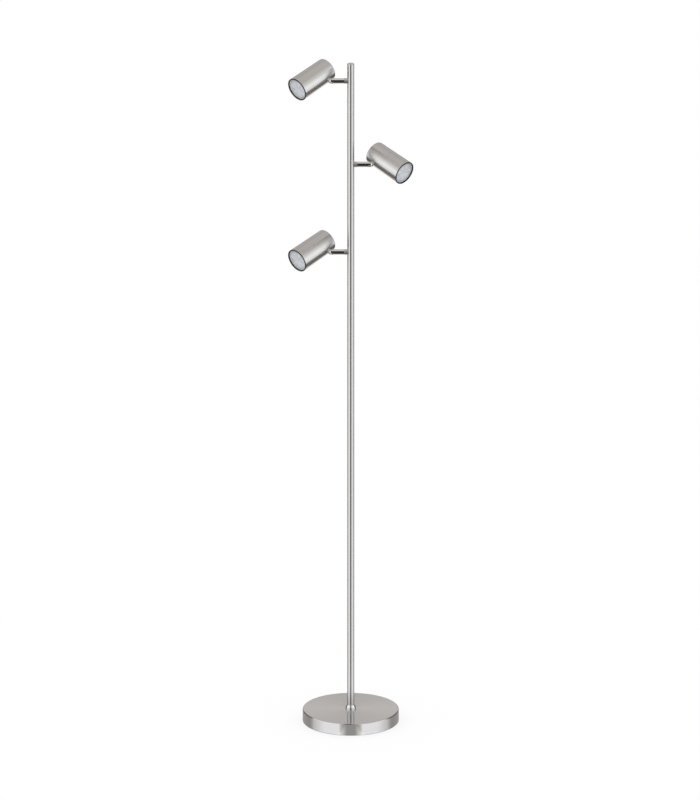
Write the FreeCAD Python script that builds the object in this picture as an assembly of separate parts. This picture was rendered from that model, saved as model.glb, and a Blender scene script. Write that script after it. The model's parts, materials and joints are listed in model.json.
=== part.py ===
import FreeCAD, Part
import math
import os

from FreeCAD import Placement, Rotation, Vector

# Tree floor lamp: a round weighted base, a three-piece pole and three small cylindrical spots on short arms.
# Frame: origin on the floor under the pole, +Z up the pole, the spots aim towards -Y, arms along X.
# All lengths are in millimetres and all angles in degrees.

# ---- base
base_diameter = 218.0
base_height = 29.0  # floor to the top of the cover
cover_wall = 1.0
cover_edge_radius = 2.5
skirt_gap = 1.0  # the cover's skirt stays this far above the floor
pad_thickness = 3.0
channel_size = 10.0  # square cable channel under the weight
recess_diameter = 28.0  # round recess under the weight, for the nut and the cable's bend
weight_web = 3.0  # weight left above the washer
washer_diameter = 24.0
washer_thickness = 1.5
base_nut_flats = 17.0
base_nut_thickness = 5.0
thread_end = 0.5  # how far a thread shows past its nut
collar_diameter = 23.4
collar_height = 9.2
collar_edge = 3.0  # upright edge at the collar's foot
collar_lip = 0.5  # the collar's wall at its top
grommet_length_out = 3.5  # past the skirt
grommet_length_in = 4.0
grommet_neck_wall = 0.7
terminal_length = 17.0
terminal_distance = 45.0  # from the pole's axis to the terminal block

# ---- pole
pole_diameter = 16.0
pole_wall = 1.2
lower_tube_length = 489.0
middle_tube_length = 494.0
upper_tube_length = 558.8
tube_edge = 0.2  # the bevel at a tube's ends, which shows as a fine line where two meet
cap_height = 3.2
cap_plug_length = 8.0
cap_edge_radius = 2.4
joint_thread_diameter = 10.0
insert_length = 16.0
stud_body_length = 12.0
stud_nose_length = 14.0
base_nipple_reach = 12.0  # how far the base's threaded tube goes into the pole
cable_diameter = 6.4
cable_play = 0.3

# ---- arms: where they leave the pole, counted down from its top
top_arm_drop = 42.0
top_to_middle = 200.0
middle_to_low = 210.0

arm_diameter = 13.0
arm_wall = 1.2
boss_length = 7.0
arm_end_wall = 2.5
arm_tube_length = 22.7
arm_nipple_diameter = 6.0
arm_nipple_bore = 3.6
nipple_poke = 1.6  # into the pole's hollow
arm_nut_thickness = 3.0
fork_shank_length = 8.0
fork_shoulder = 2.0
fork_wire_bore = 4.0
hinge_screw_diameter = 4.0
screw_head_diameter = 7.0
screw_head_height = 1.6
screw_sink = 1.2  # the screw's ends lie this far under the fork's skin
drive_slot_width = 1.0
drive_slot_depth = 0.8

# ---- spot heads
tongue_width = 8.0
tongue_thickness = 4.5
tongue_reach = 7.9  # hinge to the shell's skin
stud_diameter = 4.0
tongue_nut_thickness = 3.0
shell_mouth_diameter = 56.0
shell_taper = 2.4  # the shell is this much narrower at its back
shell_wall = 1.2
shell_edge_radius = 2.5
shell_behind_hinge = 23.7
ring_lip = 1.5
ring_sleeve_length = 5.0
ring_edge_radius = 0.4
lamp_diameter = 50.0
lamp_length = 46.0
lamp_recess = 3.0  # the lens lies this far inside the mouth
lamp_rim_height = 7.0
lamp_neck_diameter = 23.0
lamp_neck_length = 13.0
lamp_wall = 2.5
lens_diameter = 47.6
lens_thickness = 2.0
pin_spacing = 10.0
pin_diameter = 2.6
pin_head_diameter = 4.8
pin_length = 7.0
pin_head_length = 2.5
holder_diameter = 26.0
holder_length = 15.8
bracket_thickness = 1.2
bracket_width = 12.0
bracket_to_stud = 9.0  # the bracket's plate to the tongue's stud axis
bracket_tail = 7.0  # the bracket's leg past the stud's axis

# ---- clearances
fit_play = 0.1  # radial play where one piece drops into another
press_play = 0.02  # pieces pressed or screwed together
run_play = 0.05  # radial play of a turning fit
side_play = 0.15  # each side of the tongue in its slot
swivel_gap = 0.1  # along the arm, between the faces that turn
lamp_play = 0.3  # the lamp in the front ring
seat_gap = 0.2  # the lamp's foot to the holder

# ---- how the spots stand in the picture
tilt_at_rest = 44.0  # head's axis from square to the arm, out and away from the pole
aim_below_level = 22.5

# ---- worked out
BIG = 400.0
pole_r = pole_diameter / 2
pole_bore_r = pole_r - pole_wall
cover_r = base_diameter / 2
cover_bore_r = cover_r - cover_wall
thread_r = joint_thread_diameter / 2
cable_bore_r = cable_diameter / 2 + cable_play
cover_under = base_height - cover_wall
channel_mid = pad_thickness + channel_size / 2
grommet_r = channel_size / 2 - fit_play
washer_top = cover_under - weight_web
nut_top = washer_top - washer_thickness
base_nipple_foot = nut_top - base_nut_thickness - thread_end
cable_bend = base_nipple_foot - channel_mid

joint_low = base_height + lower_tube_length
joint_high = joint_low + middle_tube_length
upper_end = joint_high + upper_tube_length
pole_top = upper_end + cap_height
arm_heights = {
    "top": pole_top - top_arm_drop,
    "middle": pole_top - top_arm_drop - top_to_middle,
    "low": pole_top - top_arm_drop - top_to_middle - middle_to_low,
}
arm_side = {"top": -1, "middle": 1, "low": -1}  # 1 leaves the pole towards +X

arm_r = arm_diameter / 2
arm_bore_r = arm_r - arm_wall
nipple_r = arm_nipple_diameter / 2
boss_face = pole_r + boss_length
tube_start = boss_face + swivel_gap
tube_end = tube_start + arm_tube_length
nut_start = tube_start + arm_end_wall + swivel_gap
slot_depth = tongue_width / 2 + 1.0
slot_floor = tube_end + fork_shoulder
hinge_x = slot_floor + slot_depth

shell_front_r = shell_mouth_diameter / 2
bracket_plate = bracket_to_stud  # all heights from here on run along the head's axis, from the hinge
holder_back = bracket_plate + bracket_thickness
holder_front = holder_back + holder_length
lamp_foot = holder_front + seat_gap
lens_face = lamp_foot + lamp_length
mouth = lens_face + lamp_recess
shell_end = mouth - ring_lip
shell_back = -shell_behind_hinge
head_length = mouth - shell_back


def shell_r(height):
    """Outer radius of the shell at a height along the head's axis."""
    return shell_front_r - shell_taper / 2 * (mouth - height) / head_length


head_axis_x = shell_r(0) + tongue_reach  # the head's axis from the hinge


# ---- shapes
def turned(outline):
    """A solid turned about Z from (radius, height) points."""
    points = [Vector(r, 0, z) for r, z in outline]
    face = Part.Face(Part.makePolygon(points + points[:1]))
    return face.revolve(Vector(), Vector(0, 0, 1), 360)


def rod(radius, low, high):
    return Part.makeCylinder(radius, high - low, Vector(0, 0, low))


def tube(outer, inner, low, high):
    return rod(outer, low, high).cut(rod(inner, low - 1, high + 1))


def hexagon(flats, low, high):
    corner = flats / 2 / math.cos(math.radians(30))
    turn = [math.radians(60 * k) for k in range(7)]
    points = [Vector(corner * math.cos(a), corner * math.sin(a), low) for a in turn]
    return Part.Face(Part.makePolygon(points)).extrude(Vector(0, 0, high - low))


def block(x, y, z):
    """A box from three (low, high) pairs."""
    return Part.makeBox(x[1] - x[0], y[1] - y[0], z[1] - z[0], Vector(x[0], y[0], z[0]))


def along_x(shape):
    return shape.rotated(Vector(), Vector(0, 1, 0), 90)


def along_y(shape):
    return shape.rotated(Vector(), Vector(1, 0, 0), -90)


def shifted(shape, x, y, z):
    return shape.translated(Vector(x, y, z))


def round_edges(shape, radius, wanted):
    """Rounds the circular edges whose (radius, height) are in wanted."""
    edges = []
    for edge in shape.Edges:
        if not isinstance(edge.Curve, Part.Circle):
            continue
        spot = (edge.Curve.Radius, edge.Curve.Center.z)
        if any(math.dist(spot, w) < 1e-3 for w in wanted):
            edges.append(edge)
    return shape.makeFillet(radius, edges)


# ---- base
def base_cover():
    outer = rod(cover_r, skirt_gap, base_height)
    outer = round_edges(outer, cover_edge_radius, [(cover_r, base_height)])
    hollow = rod(cover_bore_r, 0, cover_under)
    hollow = round_edges(hollow, cover_edge_radius - cover_wall, [(cover_bore_r, cover_under)])
    hole = rod(thread_r + fit_play, 0, base_height + 1)
    cord_hole = along_y(rod(grommet_neck_r() + fit_play, 0, base_diameter))
    return outer.cut(hollow).cut(hole).cut(shifted(cord_hole, 0, 0, channel_mid))


def base_weight():
    radius = cover_bore_r - fit_play
    chamfer = cover_edge_radius
    disc = turned(
        [
            (0, pad_thickness),
            (radius, pad_thickness),
            (radius, cover_under - chamfer),
            (radius - chamfer, cover_under),
            (0, cover_under),
        ]
    )
    hole = rod(thread_r + fit_play, 0, base_height)
    recess = rod(recess_diameter / 2, 0, washer_top)
    half = channel_size / 2
    channel = block((-half, half), (0, base_diameter), (0, pad_thickness + channel_size))
    return disc.cut(hole).cut(recess).cut(channel)


def base_pad():
    return rod(cover_bore_r - fit_play, 0, pad_thickness)


def base_collar():
    """The flared ring at the pole's foot."""
    bore = pole_r + fit_play
    top = base_height + collar_height
    return turned(
        [
            (bore, base_height),
            (collar_diameter / 2, base_height),
            (collar_diameter / 2, base_height + collar_edge),
            (bore + collar_lip, top),
            (bore, top),
        ]
    )


def base_nipple():
    return tube(thread_r, cable_bore_r, base_nipple_foot, base_height + base_nipple_reach)


def base_washer():
    return tube(washer_diameter / 2, thread_r + fit_play, nut_top, washer_top)


def base_nut():
    low = nut_top - base_nut_thickness
    return hexagon(base_nut_flats, low, nut_top).cut(rod(thread_r + press_play, low - 1, nut_top + 1))


def grommet_neck_r():
    return cable_bore_r + grommet_neck_wall


def cable_grommet():
    """Flanges inside and outside the skirt, joined by a neck through it."""
    low = cover_bore_r - grommet_length_in
    high = cover_r + grommet_length_out
    flanges = shifted(along_y(rod(grommet_r, low, high)), 0, 0, channel_mid)
    wall = tube(cover_r + run_play, cover_bore_r - run_play, 0, base_height)
    neck = shifted(along_y(rod(grommet_neck_r(), low, high)), 0, 0, channel_mid)
    bore = shifted(along_y(rod(cable_bore_r, low - 1, high + 1)), 0, 0, channel_mid)
    return flanges.cut(wall).fuse(neck).cut(bore).removeSplitter()


def terminal_block():
    """Joins the supply cord to the pole's cable. It lies in the channel, on the pad."""
    half = channel_size / 2 - fit_play
    ends = (terminal_distance, terminal_distance + terminal_length)
    body = block((-half, half), ends, (pad_thickness, pad_thickness + channel_size - fit_play))
    pitch = terminal_length / 3
    for k in range(3):
        screw_well = rod(pitch / 4, channel_mid, pad_thickness + channel_size)
        body = body.cut(shifted(screw_well, 0, terminal_distance + pitch * (k + 0.5), 0))
    return body


def inner_cable():
    """From the terminal block along the channel, up a bend, and up the pole to the top arm."""
    radius = cable_diameter / 2
    flat = shifted(along_y(rod(radius, cable_bend, terminal_distance)), 0, 0, channel_mid)
    centre = Vector(0, cable_bend, base_nipple_foot)
    bend = Part.makeTorus(cable_bend, radius, centre, Vector(1, 0, 0), -180, 180, 90)
    bend = bend.rotated(centre, Vector(1, 0, 0), quarter_turn_to_corner(bend, centre))
    return flat.fuse(bend).fuse(rod(radius, base_nipple_foot, arm_heights["top"])).removeSplitter()


def quarter_turn_to_corner(bend, centre):
    """The turn about X that brings a quarter torus between the cable's two straights."""
    for turn in (0, 90, 180, 270):
        middle = bend.rotated(centre, Vector(1, 0, 0), turn).CenterOfMass
        if middle.y < centre.y and middle.z < centre.z:
            return turn
    raise ValueError("the bend has no quarter that fits")


# ---- pole
def pole_tube(low, high):
    return turned(
        [
            (pole_bore_r, low),
            (pole_r - tube_edge, low),
            (pole_r, low + tube_edge),
            (pole_r, high - tube_edge),
            (pole_r - tube_edge, high),
            (pole_bore_r, high),
        ]
    )


def upper_tube():
    shape = pole_tube(joint_high, upper_end)
    for name, height in arm_heights.items():
        hole = along_x(rod(nipple_r + press_play, 0, pole_diameter))
        shape = shape.cut(place_on_pole(hole, name))
    return shape


def pole_inserts():
    """Threaded bushes pressed into the lower tube's two ends and the middle tube's top."""
    spans = [
        (base_height, base_height + insert_length),
        (joint_low - insert_length, joint_low),
        (joint_high - insert_length, joint_high),
    ]
    return Part.makeCompound(
        [tube(pole_bore_r - press_play, thread_r + press_play, low, high) for low, high in spans]
    )


def pole_studs():
    """Threaded studs pressed into the feet of the middle and upper tubes."""
    studs = []
    for joint in (joint_low, joint_high):
        body = rod(pole_bore_r - press_play, joint, joint + stud_body_length)
        nose = rod(thread_r, joint - stud_nose_length, joint)
        bore = rod(cable_bore_r, joint - BIG, joint + BIG)
        studs.append(body.fuse(nose).cut(bore))
    return Part.makeCompound(studs)


def pole_cap():
    plug = rod(pole_bore_r - press_play, upper_end - cap_plug_length, upper_end)
    return round_edges(plug.fuse(rod(pole_r, upper_end, pole_top)), cap_edge_radius, [(pole_r, pole_top)])


# ---- arms: built along +X with the hinge's axis along Y, then put on the pole
def boss():
    """The fixed collar that the arm turns on. Its back hugs the pole."""
    body = along_x(rod(arm_r, 0, boss_face))
    return body.cut(rod(pole_r + press_play, -BIG, BIG)).cut(along_x(rod(nipple_r + press_play, 0, BIG)))


def arm_nipple():
    end = nut_start + arm_nut_thickness + thread_end
    return along_x(tube(nipple_r, arm_nipple_bore / 2, pole_bore_r - nipple_poke, end))


def arm_nut():
    flats = 2 * (arm_bore_r - fit_play) * math.cos(math.radians(30))
    end = nut_start + arm_nut_thickness
    return along_x(hexagon(flats, nut_start, end).cut(rod(nipple_r + press_play, nut_start - 1, end + 1)))


def arm_tube():
    body = rod(arm_r, tube_start, tube_end)
    hollow = rod(arm_bore_r, tube_start + arm_end_wall, tube_end + 1)
    hole = rod(nipple_r + run_play, tube_start - 1, tube_end)
    return along_x(body.cut(hollow).cut(hole))


def arm_fork():
    """A shank pressed into the arm tube, then a ball nose with the slot for the tongue."""
    shank = rod(arm_bore_r - press_play, tube_end - fork_shank_length, tube_end)
    body = along_x(shank.fuse(rod(arm_r, tube_end, hinge_x)))
    nose = Part.makeSphere(arm_r, Vector(hinge_x, 0, 0), Vector(1, 0, 0), 0, 90, 360)
    half = tongue_thickness / 2 + side_play
    slot = block((slot_floor, hinge_x + BIG), (-half, half), (-BIG, BIG))
    screw_hole = along_y(rod(hinge_screw_diameter / 2 + run_play, -arm_r, arm_r))
    head_low = arm_r - screw_sink - screw_head_height
    head_well = along_y(rod(screw_head_diameter / 2 + fit_play, head_low, arm_r))
    holes = shifted(screw_hole.fuse(head_well), hinge_x, 0, 0)
    wires = along_x(rod(fork_wire_bore / 2, 0, slot_floor + 1))
    return body.fuse(nose).cut(slot).cut(holes).cut(wires).removeSplitter()


def hinge_screw():
    top = arm_r - screw_sink
    low = top - screw_head_height
    shape = rod(hinge_screw_diameter / 2, -top, low).fuse(rod(screw_head_diameter / 2, low, top))
    slot = block((-BIG, BIG), (-drive_slot_width / 2, drive_slot_width / 2), (top - drive_slot_depth, BIG))
    return shifted(along_y(shape.cut(slot)), hinge_x, 0, 0)


# ---- heads: hinge at the origin and along Y, the head's axis along Z at x = head_axis_x, aiming +Z
def on_head_axis(shape):
    return shifted(shape, head_axis_x, 0, 0)


def cone_on_axis(offset):
    """The shell's outer cone, grown by offset, as a long solid."""
    low, high = shell_back - BIG, mouth + BIG
    sides = [(shell_r(low) + offset, low), (shell_r(high) + offset, high)]
    return on_head_axis(turned([(0, low), *sides, (0, high)]))


def bracket_leg_x():
    """Where the bracket's flat leg meets the shell's round inside, from the hinge."""
    inside = shell_r(-bracket_tail) - shell_wall
    return head_axis_x - math.sqrt(inside**2 - (bracket_width / 2) ** 2) + run_play


def tongue():
    """The flat eye in the fork, its end against the shell, and the stud through the shell's wall."""
    half = tongue_thickness / 2
    eye = along_y(rod(tongue_width / 2, -half, half))
    bar = block((0, head_axis_x / 2), (-half, half), (-tongue_width / 2, tongue_width / 2))
    outside = eye.fuse(bar).cut(cone_on_axis(press_play))
    stud_end = bracket_leg_x() + bracket_thickness + tongue_nut_thickness + thread_end
    stud = along_x(rod(stud_diameter / 2, tongue_width / 2, stud_end))
    hole = along_y(rod(hinge_screw_diameter / 2 + run_play, -arm_r, arm_r))
    return outside.fuse(stud).cut(hole).removeSplitter()


def tongue_nut():
    low = bracket_leg_x() + bracket_thickness
    high = low + tongue_nut_thickness
    flats = stud_diameter * 5 / 3
    return along_x(hexagon(flats, low, high).cut(rod(stud_diameter / 2 + press_play, low - 1, high + 1)))


def shell():
    """A drawn cup, open at the mouth and slightly tapered."""
    back_in = shell_back + shell_wall
    outer = turned(
        [(0, shell_back), (shell_r(shell_back), shell_back), (shell_r(shell_end), shell_end), (0, shell_end)]
    )
    outer = round_edges(outer, shell_edge_radius, [(shell_r(shell_back), shell_back)])
    hollow = turned(
        [
            (0, back_in),
            (shell_r(back_in) - shell_wall, back_in),
            (shell_r(shell_end + 1) - shell_wall, shell_end + 1),
            (0, shell_end + 1),
        ]
    )
    hollow = round_edges(hollow, shell_edge_radius - shell_wall, [(shell_r(back_in) - shell_wall, back_in)])
    stud_hole = along_x(rod(stud_diameter / 2 + fit_play, 0, head_axis_x))
    return on_head_axis(outer.cut(hollow)).cut(stud_hole)


def front_ring():
    """Dark ring pressed into the mouth. Its lip covers the shell's edge."""
    bore = lamp_diameter / 2 + lamp_play
    low = shell_end - ring_sleeve_length
    sleeve = shell_r(low) - shell_wall - press_play
    shape = turned(
        [
            (bore, low),
            (sleeve, low),
            (sleeve, shell_end),
            (shell_r(shell_end), shell_end),
            (shell_r(mouth), mouth),
            (bore, mouth),
        ]
    )
    return on_head_axis(round_edges(shape, ring_edge_radius, [(shell_r(mouth), mouth), (bore, mouth)]))


def lamp_body():
    """Reflector lamp: rim, cone and neck, hollow behind the lens."""
    outer_r = lamp_diameter / 2
    neck_r = lamp_neck_diameter / 2
    neck_top = lamp_foot + lamp_neck_length
    rim_low = lens_face - lamp_rim_height
    seat = lens_face - lens_thickness
    body = turned(
        [
            (0, lamp_foot),
            (neck_r, lamp_foot),
            (neck_r, neck_top),
            (outer_r, rim_low),
            (outer_r, lens_face),
            (0, lens_face),
        ]
    )
    inner_r = outer_r - lamp_wall
    hollow = turned(
        [
            (0, neck_top),
            (neck_r - lamp_wall, neck_top),
            (inner_r, rim_low),
            (inner_r, seat + 1),
            (0, seat + 1),
        ]
    )
    lens_seat = rod(lens_diameter / 2 + run_play, seat, lens_face + 1)
    return on_head_axis(body.cut(hollow).cut(lens_seat))


def lamp_lens():
    return on_head_axis(rod(lens_diameter / 2, lens_face - lens_thickness, lens_face))


def lamp_pins():
    pins = []
    for side in (-1, 1):
        foot = lamp_foot - pin_length
        head = rod(pin_head_diameter / 2, foot, foot + pin_head_length)
        pin = rod(pin_diameter / 2, foot, lamp_foot).fuse(head)
        pins.append(on_head_axis(shifted(pin, 0, side * pin_spacing / 2, 0)))
    return Part.makeCompound(pins)


def lamp_holder():
    """Ceramic block with a pocket for each pin."""
    body = rod(holder_diameter / 2, holder_back, holder_front)
    pocket_floor = lamp_foot - pin_length - 2 * seat_gap
    for side in (-1, 1):
        pocket = rod(pin_head_diameter / 2 + seat_gap, pocket_floor, holder_front + 1)
        body = body.cut(shifted(pocket, 0, side * pin_spacing / 2, 0))
    return on_head_axis(body)


def holder_bracket():
    """Bent strip: a leg held by the tongue's nut and a plate that carries the lamp holder."""
    half = bracket_width / 2
    leg_x = bracket_leg_x()
    leg = block((leg_x, leg_x + bracket_thickness), (-half, half), (-bracket_tail, holder_back))
    plate = block((leg_x, head_axis_x), (-half, half), (bracket_plate, holder_back))
    plate = plate.fuse(on_head_axis(rod(holder_diameter / 2, bracket_plate, holder_back)))
    hole = along_x(rod(stud_diameter / 2 + fit_play, 0, head_axis_x))
    return leg.fuse(plate).cut(hole).removeSplitter()


# ---- places
def place_on_pole(shape, name):
    """Turns a piece built along +X to its arm's side and lifts it to its arm's height."""
    turned_to = shape.rotated(Vector(), Vector(0, 0, 1), 0 if arm_side[name] > 0 else 180)
    return shifted(turned_to, 0, 0, arm_heights[name])


def place_arm(shape, name):
    """Turns a piece about the arm's axis to where the picture has it."""
    turn = arm_side[name] * (90 + aim_below_level)
    return place_on_pole(shape.rotated(Vector(), Vector(1, 0, 0), turn), name)


def place_head(shape, name):
    """Tilts a piece of the head about the hinge, then moves it to the hinge."""
    tilted = shape.rotated(Vector(), Vector(0, 1, 0), tilt_at_rest)
    return place_arm(shifted(tilted, hinge_x, 0, 0), name)


def flip(shape, name):
    """Keeps the hinge screw's head underneath on both sides of the pole."""
    return shape.rotated(Vector(), Vector(1, 0, 0), 180) if arm_side[name] > 0 else shape


def save(name, shape):
    solids = shape.Solids
    assert solids, name + " has no solid"
    assert all(s.isValid() and s.Volume > 0 for s in solids), name + " is not valid"
    kept = solids[0] if len(solids) == 1 else Part.makeCompound(solids)
    kept.exportStep(os.path.join("parts", name + ".step"))
    print(name, len(solids), round(sum(s.Volume for s in solids), 1))


def build():
    os.makedirs("parts", exist_ok=True)
    save("base_cover", base_cover())
    save("base_weight", base_weight())
    save("base_pad", base_pad())
    save("base_collar", base_collar())
    save("base_nipple", base_nipple())
    save("base_washer", base_washer())
    save("base_nut", base_nut())
    save("cable_grommet", cable_grommet())
    save("terminal_block", terminal_block())
    save("inner_cable", inner_cable())
    save("lower_tube", pole_tube(base_height, joint_low))
    save("middle_tube", pole_tube(joint_low, joint_high))
    save("upper_tube", upper_tube())
    save("pole_inserts", pole_inserts())
    save("pole_studs", pole_studs())
    save("pole_cap", pole_cap())

    save("arm_nipples", Part.makeCompound([place_on_pole(arm_nipple(), name) for name in arm_heights]))
    save("arm_nuts", Part.makeCompound([place_on_pole(arm_nut(), name) for name in arm_heights]))
    arm_pieces = {"arm_tube": arm_tube(), "arm_fork": arm_fork(), "hinge_screw": hinge_screw()}
    head_pieces = {
        "tongue": tongue(),
        "tongue_nut": tongue_nut(),
        "shell": shell(),
        "front_ring": front_ring(),
        "lamp_body": lamp_body(),
        "lamp_lens": lamp_lens(),
        "lamp_pins": lamp_pins(),
        "lamp_holder": lamp_holder(),
        "holder_bracket": holder_bracket(),
    }
    for name in arm_heights:
        save(name + "_boss", place_on_pole(boss(), name))
        for piece, shape in arm_pieces.items():
            mirrored = flip(shape, name) if piece in ("arm_fork", "hinge_screw") else shape
            save(name + "_" + piece, place_arm(mirrored, name))
        for piece, shape in head_pieces.items():
            save(name + "_" + piece, place_head(shape, name))


build()
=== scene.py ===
import json
import math

import bmesh
import bpy
from mathutils import Matrix, Vector


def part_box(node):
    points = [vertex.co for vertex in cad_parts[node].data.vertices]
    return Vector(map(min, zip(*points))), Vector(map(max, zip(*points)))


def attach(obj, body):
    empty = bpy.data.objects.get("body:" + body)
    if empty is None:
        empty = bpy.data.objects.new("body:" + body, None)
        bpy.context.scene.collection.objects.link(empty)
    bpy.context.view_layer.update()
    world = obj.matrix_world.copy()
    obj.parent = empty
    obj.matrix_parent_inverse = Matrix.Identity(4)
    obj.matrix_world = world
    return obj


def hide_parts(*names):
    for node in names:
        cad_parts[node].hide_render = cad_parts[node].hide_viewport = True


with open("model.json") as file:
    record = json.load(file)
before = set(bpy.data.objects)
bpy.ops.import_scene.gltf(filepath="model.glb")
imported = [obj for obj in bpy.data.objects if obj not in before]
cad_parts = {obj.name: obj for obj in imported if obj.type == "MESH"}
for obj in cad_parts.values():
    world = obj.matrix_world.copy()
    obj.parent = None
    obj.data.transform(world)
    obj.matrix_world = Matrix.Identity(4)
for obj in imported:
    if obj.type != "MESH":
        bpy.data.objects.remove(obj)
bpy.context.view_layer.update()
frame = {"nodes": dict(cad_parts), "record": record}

# The looks of a floor lamp with three spots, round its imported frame. Metres, +Z up, the front is -Y.
mm = 0.001
armNames = ("top", "middle", "low")
print("frame loaded")


# A wire is one output socket. Python's operators on wires add Math nodes.
class Wire:
    def __init__(self, graph, socket):
        self.graph = graph
        self.socket = socket

    def math(self, operation, *others):
        terms = dict(enumerate((self,) + others))
        return self.graph.add("ShaderNodeMath", {"operation": operation}, terms)

    def __add__(self, other):
        return self.math("ADD", other)

    def __mul__(self, other):
        return self.math("MULTIPLY", other)

    def __sub__(self, other):
        return self.math("SUBTRACT", other)

    def __rsub__(self, other):
        return self.graph.add("ShaderNodeMath", {"operation": "SUBTRACT"}, {0: other, 1: self})

    def __truediv__(self, other):
        return self.math("DIVIDE", other)

    def __neg__(self):
        return self * -1

    __radd__ = __add__
    __rmul__ = __mul__

    # Smooth mask. Two bounds: 0 at the first, 1 at the second. Four: it rises over two and falls over two.
    def band(self, *bounds):
        if len(bounds) == 4:
            lowest, low, high, highest = bounds
            return self.band(lowest, low) * self.band(highest, high)
        inputs = {"Value": self, "From Min": bounds[0], "From Max": bounds[1]}
        return self.graph.add("ShaderNodeMapRange", {"interpolation_type": "SMOOTHSTEP"}, inputs)

    # goes from this wire to another one as the mask rises
    def toward(self, other, mask):
        return self + (other - self) * mask


# A graph is one node tree being written.
class Graph:
    def __init__(self, owner):
        owner.use_nodes = True
        self.owner = owner
        self.tree = owner.node_tree
        self.tree.nodes.clear()

    # any node: its type, its settings, which are set first, and its sockets' values or links
    def add(self, kind, settings=None, inputs=None, output=0):
        made = self.tree.nodes.new(kind)
        for name, value in (settings or {}).items():
            setattr(made, name, value)
        for name, value in (inputs or {}).items():
            if isinstance(value, Wire):
                self.tree.links.new(value.socket, made.inputs[name])
            else:
                made.inputs[name].default_value = value
        return Wire(self, made.outputs[output]) if len(made.outputs) else None

    # "Object" is the place on a piece, "Generated" the direction in a world
    def place(self, kind="Object"):
        return self.add("ShaderNodeTexCoord", output=kind)

    def split(self, vector):
        made = self.add("ShaderNodeSeparateXYZ", None, {0: vector}).socket.node
        return [Wire(self, output) for output in made.outputs]

    def vector(self, x, y, z):
        return self.add("ShaderNodeCombineXYZ", None, {0: x, 1: y, 2: z})

    def mix(self, mask, first, second):
        inputs = {0: mask, 6: first, 7: second}
        return self.add("ShaderNodeMix", {"data_type": "RGBA"}, inputs, 2)

    # a colour in its darker and lighter tone, as the mask rises
    def toned(self, mask, rgb, spread):
        return self.mix(mask, colour(rgb, 1 - spread), colour(rgb, 1 + spread))

    def noise(self, vector, scale, detail=2.0, roughness=0.5):
        inputs = {"Vector": vector, "Scale": scale, "Detail": detail, "Roughness": roughness}
        return self.add("ShaderNodeTexNoise", None, inputs)

    def bump(self, height, distance, strength):
        inputs = {"Height": height, "Distance": distance, "Strength": strength}
        return self.add("ShaderNodeBump", None, inputs)

    def output(self, kind, surface):
        self.add(kind, None, {"Surface": surface})


def colour(rgb, factor=1.0):
    return tuple(min(1.0, part * factor) for part in rgb) + (1.0,)


def fromAxis(x, y):
    return (x * x + y * y).math("SQRT")


# One principled material: fixed holds plain socket values, and varied holds wires.
def finishMaterial(graph, fixed, varied):
    graph.output("ShaderNodeOutputMaterial", graph.add("ShaderNodeBsdfPrincipled", None, {**fixed, **varied}))
    return graph.owner


# Spun or brushed plate on a piece turned about its own Z axis. The brush lines run round that axis.
def brushedMetal(name, look):
    graph = Graph(bpy.data.materials.new(name))
    place = graph.place()
    x, y, z = graph.split(place)
    radius = fromAxis(x, y) + look["axisGap"]
    lineX, lineY = x / radius * look["arc"], y / radius * look["arc"]
    run = radius + z  # grows along a side and across a flat top alike
    fine = graph.noise(graph.vector(lineX, lineY, run / look["lineWidth"]), 1.0, *look["lineNoise"])
    broad = graph.noise(graph.vector(lineX, lineY, run / look["bandWidth"]), 1.0)
    cloud = graph.noise(place, look["cloudScale"], look["cloudDetail"])
    fineShare, broadShare, cloudShare = look["toneShares"]
    tone = (fine * fineShare + broad * broadShare + cloud * cloudShare).band(*look["toneRange"])
    metal = graph.toned(tone, look["colour"], look["toneSpread"])
    roughness = look["roughness"] + (fine + cloud - 1) * look["roughSpread"]  # both noises average a half
    if "flat" in look:  # the top is rougher, as if brushed more coarsely, and painted lighter than the side: painted light
        flat = look["flat"]
        top = z.band(*flat["rise"])
        # the top's lighter colour is painted light
        metal = graph.mix(top, metal, graph.toned(tone, flat["colour"], look["toneSpread"]))
        roughness = roughness + top * flat["rougher"]
    varied = {
        "Base Color": metal,
        "Roughness": roughness,
        "Normal": graph.bump(fine, look["groove"], look["grooveStrength"]),
    }
    fixed = {
        "Metallic": 1.0,
        "Anisotropic": look["anisotropy"],
        "Anisotropic Rotation": 0.25,  # a quarter turn: the gloss spreads across the brush lines
    }
    return finishMaterial(graph, fixed, varied)


# Anything without brush lines: plated, turned, moulded, cast, painted or glazed, with a fine grain
def plainFinish(name, look):
    graph = Graph(bpy.data.materials.new(name))
    place = graph.place()
    fine = graph.noise(place, look["fineScale"], *look["fineNoise"])
    cloud = graph.noise(place, look["cloudScale"])
    tone = ((fine + cloud) / 2).band(*look["toneRange"])
    varied = {
        "Base Color": graph.toned(tone, look["colour"], look["toneSpread"]),
        "Roughness": look["roughness"] + (fine - 0.5) * look["roughSpread"],
        "Normal": graph.bump(fine, look["grain"], look["grainStrength"]),
    }
    fixed = {
        "Metallic": look["metallic"],
        "Coat Weight": look["coat"],
        "Coat Roughness": look["coatRoughness"],
    }
    return finishMaterial(graph, fixed, varied)
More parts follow.
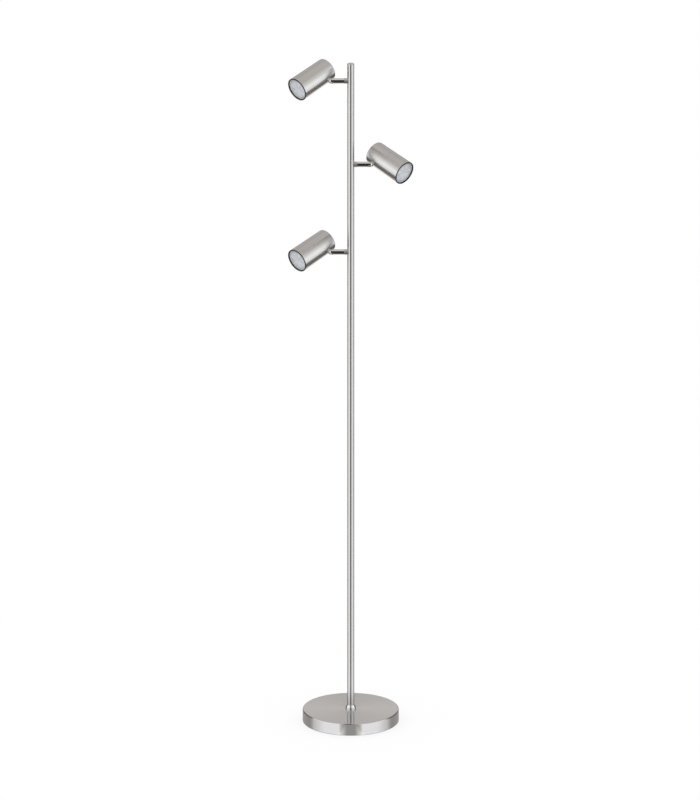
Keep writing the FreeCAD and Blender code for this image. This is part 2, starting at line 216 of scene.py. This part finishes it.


# Frosted lens: pale, a little bluish, faint spokes and rings; painted shade at its edge and under the ring's
# lip
def frostedLens(name, look):
    graph = Graph(bpy.data.materials.new(name))
    place = graph.place()
    x, y = graph.split(place)[:2]
    radius = fromAxis(x, y)
    share = radius / look["radius"]
    spokes = (y.math("ARCTAN2", x) * look["spokes"]).math("SINE") * share.band(*look["spokeReach"])
    rings = (radius / look["ringPitch"] * math.tau).math("SINE") * 0.5 + 0.5
    grain = graph.noise(place, *look["grainNoise"])
    cloud = graph.noise(place, *look["cloudNoise"])
    spokeShare, ringShare, cloudShare = look["toneShares"]
    tone = (spokes * 0.5 + 0.5) * spokeShare + rings * ringShare + cloud * cloudShare
    grainRelief, ringRelief = look["reliefShares"]
    relief = grain * grainRelief + rings * ringRelief
    pale = graph.mix(tone.band(*look["toneRange"]), colour(look["shade"]), colour(look["colour"]))
    # painted shadow of the front ring's lip on the lens's upper part
    lipShadow = (y / look["radius"] * share).band(*look["lipShade"]) * look["lipShadeMost"]
    varied = {
        # painted shade towards the edge, and the lip's painted shadow, in the darker colour
        "Base Color": graph.mix(share.band(*look["rimReach"]) + lipShadow, pale, colour(look["rim"])),
        "Roughness": look["roughness"] + (grain - 0.5) * look["roughSpread"],
        "Normal": graph.bump(relief, look["relief"], look["reliefStrength"]),
    }
    fixed = {"Coat Weight": look["coat"], "Coat Roughness": look["coatRoughness"], "IOR": look["ior"]}
    return finishMaterial(graph, fixed, varied)


steelLook = {
    "colour": (0.612, 0.604, 0.594),
    "roughness": 0.19,
    "roughSpread": 0.03,
    "anisotropy": 0.96,
    "toneSpread": 0.06,
    "toneShares": (0.55, 0.3, 0.15),  # of fine lines, broad bands and clouds
    "toneRange": (0.25, 0.75),
    "axisGap": 0.001 * mm,  # keeps the lines' direction defined on the axis itself
    "arc": 1.3,  # how far a brush line runs before it fades
    "lineWidth": 0.5 * mm,
    "lineNoise": (3.0, 0.7),  # detail and roughness
    "bandWidth": 3.2 * mm,
    "cloudScale": 14.0,
    "cloudDetail": 3.0,
    "groove": 0.001 * mm,
    "grooveStrength": 0.5,
}
poleLook = {**steelLook, "toneSpread": 0.015, "bandWidth": 30 * mm, "arc": 0.3, "anisotropy": 1.0}
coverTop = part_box("base_cover")[1].z
coverLook = {
    **steelLook,
    "toneSpread": 0.03,
    "bandWidth": 5.0 * mm,
    "roughness": 0.1,
    "anisotropy": 1.0,
    "colour": (0.555, 0.546, 0.538),
    "flat": {
        "rise": (coverTop - 1.5 * mm, coverTop - 0.1 * mm),  # the heights over which the side becomes the top
        "rougher": 0.09,
        # a lighter copy of the metal for the top: painted light
        "colour": (0.63, 0.622, 0.628),
    },
}
chromeLook = {
    "colour": (0.80, 0.80, 0.80),
    "metallic": 1.0,
    "roughness": 0.07,
    "roughSpread": 0.03,
    "toneSpread": 0.02,
    "toneRange": (0.3, 0.7),
    "fineScale": 900.0,
    "fineNoise": (3.0, 0.6),  # detail and roughness
    "cloudScale": 60.0,
    "grain": 0.002 * mm,
    "grainStrength": 0.4,
    "coat": 0.0,
    "coatRoughness": 0.12,
}
zincLook = {
    **chromeLook,
    "colour": (0.52, 0.53, 0.54),
    "roughness": 0.38,
    "roughSpread": 0.15,
    "toneSpread": 0.1,
}
brassLook = {**zincLook, "colour": (0.68, 0.50, 0.24), "roughness": 0.3}
ringLook = {
    **chromeLook,
    "colour": (0.028, 0.029, 0.028),
    "metallic": 0.0,
    "roughness": 0.42,
    "roughSpread": 0.12,
    "toneSpread": 0.2,
    "fineScale": 1200.0,
    "fineNoise": (4.0, 0.6),
    "cloudScale": 80.0,
    "grain": 0.01 * mm,
    "grainStrength": 0.5,
    "coat": 0.15,
}
ironLook = {
    **ringLook,
    "colour": (0.05, 0.05, 0.052),
    "roughness": 0.75,
    "fineScale": 350.0,
    "grain": 0.15 * mm,
    "coat": 0.0,
}
rubberLook = {**ringLook, "colour": (0.03, 0.03, 0.03), "roughness": 0.7, "coat": 0.0}
padLook = {**rubberLook, "colour": (0.05, 0.05, 0.05), "fineScale": 700.0, "grain": 0.06 * mm}
whiteLook = {**ringLook, "colour": (0.82, 0.82, 0.80), "roughness": 0.35, "toneSpread": 0.03, "coat": 0.2}
glazeLook = {**whiteLook, "colour": (0.78, 0.76, 0.71), "roughness": 0.25, "coat": 0.5}
lensLook = {
    "colour": (0.69, 0.72, 0.765),
    "shade": (0.50, 0.515, 0.545),
    # the colour of the painted shade at the lens's edge and under the front ring's lip
    "rim": (0.34, 0.35, 0.36),
    "radius": 23.8 * mm,
    "rimReach": (0.9, 0.99),  # where the painted shade at the lens's edge rises, in shares of the radius
    "spokes": 7,
    "spokeReach": (0.1, 0.4, 0.7, 0.95),
    "ringPitch": 4.5 * mm,
    "grainNoise": (900.0, 3.0),  # scale and detail
    "cloudNoise": (45.0, 1.0),
    "toneShares": (0.25, 0.1, 0.65),  # of spokes, rings and clouds
    "toneRange": (0.2, 0.8),
    "lipShade": (0.3, 1.05),  # painted lip shadow, by height above the middle times distance from it, in shares of the radius
    "lipShadeMost": 0.75,
    "roughness": 0.34,
    "roughSpread": 0.15,
    "relief": 0.08 * mm,
    "reliefShares": (0.6, 0.4),  # of grain and rings
    "reliefStrength": 0.5,
    "coat": 0.35,
    "coatRoughness": 0.18,
    "ior": 1.49,
}

materials = {
    "brushed_base": brushedMetal("spunCover", coverLook),
    "brushed_pole": brushedMetal("brushedPole", poleLook),
    "brushed_head": brushedMetal("brushedHead", steelLook),
    "chrome": plainFinish("polishedChrome", chromeLook),
    "zinc": plainFinish("zincPlate", zincLook),
    "brass": plainFinish("turnedBrass", brassLook),
    "dark_ring": plainFinish("darkRing", ringLook),
    "iron_weight": plainFinish("castIron", ironLook),
    "black_rubber": plainFinish("blackRubber", rubberLook),
    "foot_pad": plainFinish("footPad", padLook),
    "lamp_white": plainFinish("lampHousing", whiteLook),
    "white_plastic": plainFinish("terminalPlastic", whiteLook),
    "ceramic": plainFinish("glazedHolder", glazeLook),
    "frosted_lens": frostedLens("frostedLens", lensLook),
}
slotOf = {row["node"]: row["material_slot"] for row in frame["record"]["subparts"]}
for node, piece in frame["nodes"].items():
    for slot in piece.material_slots:
        slot.material = materials[slotOf[node]]
print("materials on", len(slotOf), "nodes")


def addObject(name, data):
    made = bpy.data.objects.new(name, data)
    bpy.context.scene.collection.objects.link(made)
    return made


# A piece turned about its own Z from (radius, height) points, with a ring of faces for each stretch.
# The brush lines of its finish run round that axis.
def turnedPiece(name, outline, segments, smoothAngle=35):
    mesh = bpy.data.meshes.new(name)
    builder = bmesh.new()
    turns = [math.tau * step / segments for step in range(segments)]
    rows = []
    for radius, height in outline:
        places = [(radius * math.cos(turn), radius * math.sin(turn), height) for turn in turns]
        rows.append([builder.verts.new(place) for place in (places if radius > 0 else places[:1])])
    for low, high in zip(rows, rows[1:]):
        for step in range(segments):
            around = ((low, step), (low, step + 1), (high, step + 1), (high, step))
            corners = [row[index % len(row)] for row, index in around]
            builder.faces.new(list(dict.fromkeys(corners)))  # a corner on the axis counts once
    bmesh.ops.recalc_face_normals(builder, faces=builder.faces)
    for face in builder.faces:
        face.smooth = True
    for edge in builder.edges:
        edge.smooth = edge.calc_face_angle(0.0) < math.radians(smoothAngle)
    builder.to_mesh(mesh)
    builder.free()
    return addObject(name, mesh)


# a rounded corner's points from one direction to the other, in degrees
def corner(centre, radius, start, end, steps):
    angles = [math.radians(start + (end - start) * step / steps) for step in range(steps + 1)]
    return [(centre[0] + radius * math.cos(angle), centre[1] + radius * math.sin(angle)) for angle in angles]


# gives a piece its finish and place, the body that it moves with and the node that it stands for
def finishPiece(piece, slotName, body, node, where=Matrix()):
    piece.data.materials.append(materials[slotName])
    piece.matrix_world = where
    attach(piece, body)
    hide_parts(node)


# The head's axis from its lens: the disc's face points along it.
def headAxis(name):
    mesh = frame["nodes"][name + "_lamp_lens"].data
    face = max(mesh.polygons, key=lambda polygon: polygon.area)
    low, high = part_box(name + "_lamp_lens")
    back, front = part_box(name + "_shell")
    centre = (low + high) / 2
    along = face.normal.normalized()
    return centre, along if along.dot(centre - (back + front) / 2) > 0 else -along


# each vertex of a CAD node as (radius, height) about an axis
def measured(node, centre, along):
    found = []
    for vertex in frame["nodes"][node].data.vertices:
        offset = vertex.co - centre
        height = offset.dot(along)
        found.append(((offset - along * height).length, height))
    return found


# the lowest and the highest point
def heights(points):
    return min(height for radius, height in points), max(height for radius, height in points)


# the largest radius between two heights
def widest(points, low, high):
    return max(radius for radius, height in points if low < height < high)


faceSlack = 0.1 * mm  # a vertex this near a face lies on it

shellShape = {
    "wall": 1.2 * mm,
    "edge": 2.5 * mm,
    "edgeSlack": 0.3 * mm,  # the side's first vertices lie at most this far past the rounded edge
    "outerSteps": 12,
    "innerSteps": 6,
    "bands": 24,
    "segments": 160,
}


def makeShell(name, centre, along):
    points = measured(name + "_shell", centre, along)
    back, front = heights(points)
    edge, wall, bands = shellShape["edge"], shellShape["wall"], shellShape["bands"]
    frontRadius = widest(points, front - faceSlack, math.inf)
    backRadius = widest(points, -math.inf, back + edge + shellShape["edgeSlack"])
    rounded = (backRadius - edge, back + edge)
    outline = [(0, back), (backRadius / 2, back)]
    outline += corner(rounded, edge, -90, 0, shellShape["outerSteps"])
    widening, length = frontRadius - backRadius, front - back - edge
    for band in range(1, bands + 1):
        share = band / bands
        outline.append((backRadius + widening * share, back + edge + length * share))
    outline.append((frontRadius - wall, front))
    outline += corner(rounded, edge - wall, 0, -90, shellShape["innerSteps"])
    outline.append((0, back + wall))
    return turnedPiece(name + "Shell", outline, shellShape["segments"])


ringShape = {"edge": 0.4 * mm, "edgeSteps": 5, "segments": 160}


def makeRing(name, centre, along):
    points = measured(name + "_front_ring", centre, along)
    back, front = heights(points)
    radii = [radius for radius, height in points]
    bore, outer = min(radii), max(radii)
    sleeve = widest(points, -math.inf, back + faceSlack)
    shellFront = heights(measured(name + "_shell", centre, along))[1]
    edge, steps = ringShape["edge"], ringShape["edgeSteps"]
    outline = [(bore, back), (sleeve, back), (sleeve, shellFront), (outer, shellFront)]
    outline += corner((outer - edge, front - edge), edge, 0, 90, steps)
    outline += corner((bore + edge, front - edge), edge, 90, 180, steps)
    outline.append((bore, back))
    return turnedPiece(name + "Ring", outline, ringShape["segments"])


lensShape = {"dome": 1.2 * mm, "rimEdge": 0.5 * mm, "steps": 14, "segments": 120}


def makeLens(name, centre, along):
    points = measured(name + "_lamp_lens", centre, along)
    back, front = heights(points)
    radius = max(radius for radius, height in points)
    dome, rimEdge, steps = lensShape["dome"], lensShape["rimEdge"], lensShape["steps"]
    outline = [(0, back), (radius, back), (radius, front - dome - rimEdge)]
    for step in range(steps + 1):
        share = 1 - step / steps
        outline.append(((radius - rimEdge) * share, front - dome * share * share))
    return turnedPiece(name + "Lens", outline, lensShape["segments"])


# The fixed collar at the foot of each arm, turned about the arm. Its back end lies inside the pole.
bossShape = {"edge": 0.3 * mm, "segments": 96}


def makeBoss(name):
    low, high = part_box(name + "_boss")
    side = 1 if (low + high).x > 0 else -1
    radius, length, edge = (high.z - low.z) / 2, high.x - low.x, bossShape["edge"]
    outline = [(0, 0), (radius, 0), (radius, length - edge), (radius - edge, length), (0, length)]
    piece = turnedPiece(name + "Boss", outline, bossShape["segments"])
    foot = Vector((low.x if side > 0 else high.x, 0, (low.z + high.z) / 2))
    where = Matrix.Translation(foot) @ Matrix.Rotation(side * math.pi / 2, 4, "Y")
    finishPiece(piece, "brushed_pole", "stand", name + "_boss", where)


# The pole's cap: a plug in the tube, and a head with a slightly rounded edge and a low dome
capShape = {"edge": 1.0 * mm, "edgeSteps": 6, "dome": 0.25 * mm, "plug": 0.8, "segments": 96}


def makeCap():
    low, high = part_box("pole_cap")
    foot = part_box("upper_tube")[1].z
    radius, edge = (high.x - low.x) / 2, capShape["edge"]
    plug = radius * capShape["plug"]
    shoulder = high.z - capShape["dome"]
    outline = [(0, low.z), (plug, low.z), (plug, foot), (radius, foot)]
    outline += corner((radius - edge, shoulder - edge), edge, 0, 90, capShape["edgeSteps"])
    outline.append((0, high.z))
    finishPiece(turnedPiece("poleCap", outline, capShape["segments"]), "brushed_pole", "stand", "pole_cap")


headPieces = {
    "shell": (makeShell, "brushed_head"),
    "front_ring": (makeRing, "dark_ring"),
    "lamp_lens": (makeLens, "frosted_lens"),
}
makeCap()
for name in armNames:
    makeBoss(name)
    centre, along = headAxis(name)
    where = Matrix.Translation(centre) @ along.to_track_quat("Z", "Y").to_matrix().to_4x4()
    for kind, (make, slotName) in headPieces.items():
        finishPiece(make(name, centre, along), slotName, name + "_head", name + "_" + kind, where)
print("own pieces on the pole and on", len(armNames), "heads")


# The camera has no perspective, so that the pole keeps its width.
cameraLook = {
    "elevation": math.radians(18.9),
    "distance": 12.0,
    "pixelsPerMetre": 441.0,
    "imageHeight": 800,
    "poleRight": 0.75,  # pixels from the image's middle to the pole
    "floorBelow": 320.2,  # pixels from the image's middle down to the base's centre on the floor
}


def makeCamera(look):
    scale, elevation = look["pixelsPerMetre"], look["elevation"]
    data = bpy.data.cameras.new("camera")
    data.type = "ORTHO"
    data.ortho_scale = look["imageHeight"] / scale
    data.clip_end = look["distance"] * 3
    camera = addObject("camera", data)
    back = Vector((0, -math.cos(elevation), math.sin(elevation)))
    aim = Vector((-look["poleRight"] / scale, 0, look["floorBelow"] / scale / math.cos(elevation)))
    camera.location = aim + back * look["distance"]
    camera.rotation_euler = (math.pi / 2 - elevation, 0, 0)
    bpy.context.scene.camera = camera


makeCamera(cameraLook)

# The room is plain white, but what shines sees the walls, cards and strips below, as strengths of light.
# Places are in degrees: turn is 0 towards the camera and 180 behind the lamp, lift is -90 below to 90 above.
# A patch changes a surface over a band of turn, of lift or of both, to a strength or by an amount.
roomLook = {
    "frontWall": 0.02,  # starts as the dark strip in its middle
    "frontPatches": [
        {"to": 0.14, "lift": (-26, -22, -16, -12)},  # where the strip meets the far floor
        {"to": 0.18, "turn": (1, 3), "lift": (4, 16)},  # over the camera, but for the arms' black bar
        {"to": 0.74, "turn": (8, 24)},  # the wall beside the strip
    ],
    "card": 1.36,  # the bright cards at both sides
    "cardPatches": [
        {"by": -0.46, "lift": (6, 36)},  # they fade upwards
        {"by": -0.22, "lift": (33, 56)},
        {"by": -0.3, "turn": (62, 95), "lift": (2, -18)},  # and low down towards the back
    ],
    "backWall": 0.44,
    "backPatches": [
        {"by": 0.24, "lift": (0, 9)},  # lighter from eye level up
        {"by": -0.15, "lift": (25, 37)},
        {"by": 0.1, "lift": (35, 72)},
        {"by": -0.12, "turn": (140, 158), "lift": (-15, -6, -1, 4)},  # a darker skirting
        {"by": -0.12, "turn": (132, 142, 163, 173), "lift": (4, 12, 26, 34)},  # darker beside the middle
    ],
    "upperPatches": [
        {"to": 0.1, "turn": (97, 105, 146, 158), "lift": (-17, -10, 22, 32)},  # door frames behind the cards
        {"to": 0.65, "lift": (54, 63)},  # the ceiling
    ],
    "floor": 0.15,
    "floorPatches": [
        {"by": 0.5, "turn": (115, 165)},  # lighter behind the lamp
        {"by": 0.36, "lift": (-50, -85)},  # and straight below
    ],
    "lowPatches": [
        {"to": 0.02, "turn": (26, 18), "lift": (-56, -50, -36, -30)},  # the strip again, on the floor
        {"to": 0.13, "turn": (70, 90, 130, 142), "lift": (-50, -44, -32, -24)},  # a dark foot to the cards
        {"by": 0.45, "turn": (130, 158), "lift": (-75, -60, -30, -20)},  # a glow behind the lamp
    ],
    "cardFrom": (22, 30),  # where the front wall gives way to the cards
    "backFrom": (96, 118),  # where the cards give way to the back wall
    "backLean": 5,  # degrees of turn by which that comes nearer for each degree of lift below backLeanFrom
    "backLeanFrom": -18.5,
    "horizon": (-46, -28),  # where the floor gives way to the walls
    "cardTint": (0.985, 1.0, 1.015, 1.0),
    "cardTintLift": (50, 10),
    "wallTint": (1.045, 1.0, 0.965, 1.0),
}


def makeWorld(look):
    world = bpy.data.worlds.new("room")
    bpy.context.scene.world = world
    graph = Graph(world)
    x, y, z = graph.split(graph.place("Generated"))
    turn = x.math("ABSOLUTE").math("ARCTAN2", -y) * math.degrees(1)
    lift = z.math("ARCSINE") * math.degrees(1)
    angles = {"turn": turn, "lift": lift}

    def painted(strength, patches):
        for patch in patches:
            bands = [angles[key].band(*patch[key]) for key in angles if key in patch]
            mask = math.prod(bands[1:], start=bands[0])
            change = patch["to"] - strength if "to" in patch else patch["by"]
            strength = strength + mask * change
        return strength

    below = (look["backLeanFrom"] - lift).math("MAXIMUM", 0)
    behind = (turn + below * look["backLean"]).band(*look["backFrom"])
    beside = turn.band(*look["cardFrom"])
    front = painted(look["frontWall"], look["frontPatches"])
    card = painted(look["card"], look["cardPatches"])
    back = painted(look["backWall"], look["backPatches"])
    upper = painted(front.toward(card.toward(back, behind), beside), look["upperPatches"])
    floor = painted(look["floor"], look["floorPatches"])
    room = painted(floor.toward(upper, lift.band(*look["horizon"])), look["lowPatches"])
    tinted = beside * (1 - behind) * lift.band(*look["cardTintLift"])
    tint = graph.mix(tinted, look["wallTint"], look["cardTint"])
    shining = graph.add("ShaderNodeLightPath", output="Is Glossy Ray")
    inputs = {"Color": graph.mix(shining, (1, 1, 1, 1), tint), "Strength": 1 + (room - 1) * shining}
    graph.output("ShaderNodeOutputWorld", graph.add("ShaderNodeBackground", None, inputs))
    world.cycles.sampling_method = "NONE"


makeWorld(roomLook)

# The floor is a pale round sheet that fades into the white room.
floorLook = {"radius": 1.6, "segments": 96, "fade": (0.7, 1.5), "ownLight": 0.76, "paint": (0.24, 0.24, 0.24)}


def makeFloor(look):
    mesh = bpy.data.meshes.new("floor")
    builder = bmesh.new()
    bmesh.ops.create_circle(builder, cap_ends=True, segments=look["segments"], radius=look["radius"])
    builder.to_mesh(mesh)
    builder.free()
    floor = addObject("floor", mesh)
    graph = Graph(bpy.data.materials.new("paleFloor"))
    x, y = graph.split(graph.place())[:2]
    paint = graph.add("ShaderNodeBsdfDiffuse", None, {"Color": colour(look["paint"])})
    glow = graph.add("ShaderNodeEmission", None, {"Strength": look["ownLight"]})
    lit = graph.add("ShaderNodeAddShader", None, {0: paint, 1: glow})
    clear = graph.add("ShaderNodeBsdfTransparent")
    inputs = {0: fromAxis(x, y).band(*look["fade"]), 1: lit, 2: clear}
    graph.output("ShaderNodeOutputMaterial", graph.add("ShaderNodeMixShader", None, inputs))
    mesh.materials.append(graph.owner)
    floor.visible_glossy = False


makeFloor(floorLook)

# The glow is the lit floor in front of the base, which only reflections see.
glowLook = {
    "strength": 0.36,
    "halfWidth": 0.05,
    "near": 0.1,
    "far": 0.6,
    "height": 0.0005,
    "sideFade": (0.8, 0.5),  # in shares of the half width
    "farFade": (0.5, 0.15),
}


def makeGlow(look):
    mesh = bpy.data.meshes.new("floorGlow")
    width, near, far = look["halfWidth"], look["near"], look["far"]
    corners = [(-width, -far, 0), (width, -far, 0), (width, -near, 0), (-width, -near, 0)]
    mesh.from_pydata(corners, [], [(0, 1, 2, 3)])
    glow = addObject("floorGlow", mesh)
    glow.location.z = look["height"]
    graph = Graph(bpy.data.materials.new("litFloor"))
    x, y = graph.split(graph.place())[:2]
    lit = (x.math("ABSOLUTE") / width).band(*look["sideFade"]) * (-y).band(*look["farFade"])
    inputs = {"Color": graph.mix(lit, (0, 0, 0, 1), (1, 1, 1, 1)), "Strength": look["strength"]}
    light = graph.add("ShaderNodeEmission", None, inputs)
    clear = graph.add("ShaderNodeBsdfTransparent")
    graph.output("ShaderNodeOutputMaterial", graph.add("ShaderNodeAddShader", None, {0: light, 1: clear}))
    mesh.materials.append(graph.owner)
    glow.visible_camera = False
    glow.visible_diffuse = False
    glow.visible_shadow = False


makeGlow(glowLook)
bpy.context.scene.view_settings.view_transform = "Standard"
print("camera, room and floor made")
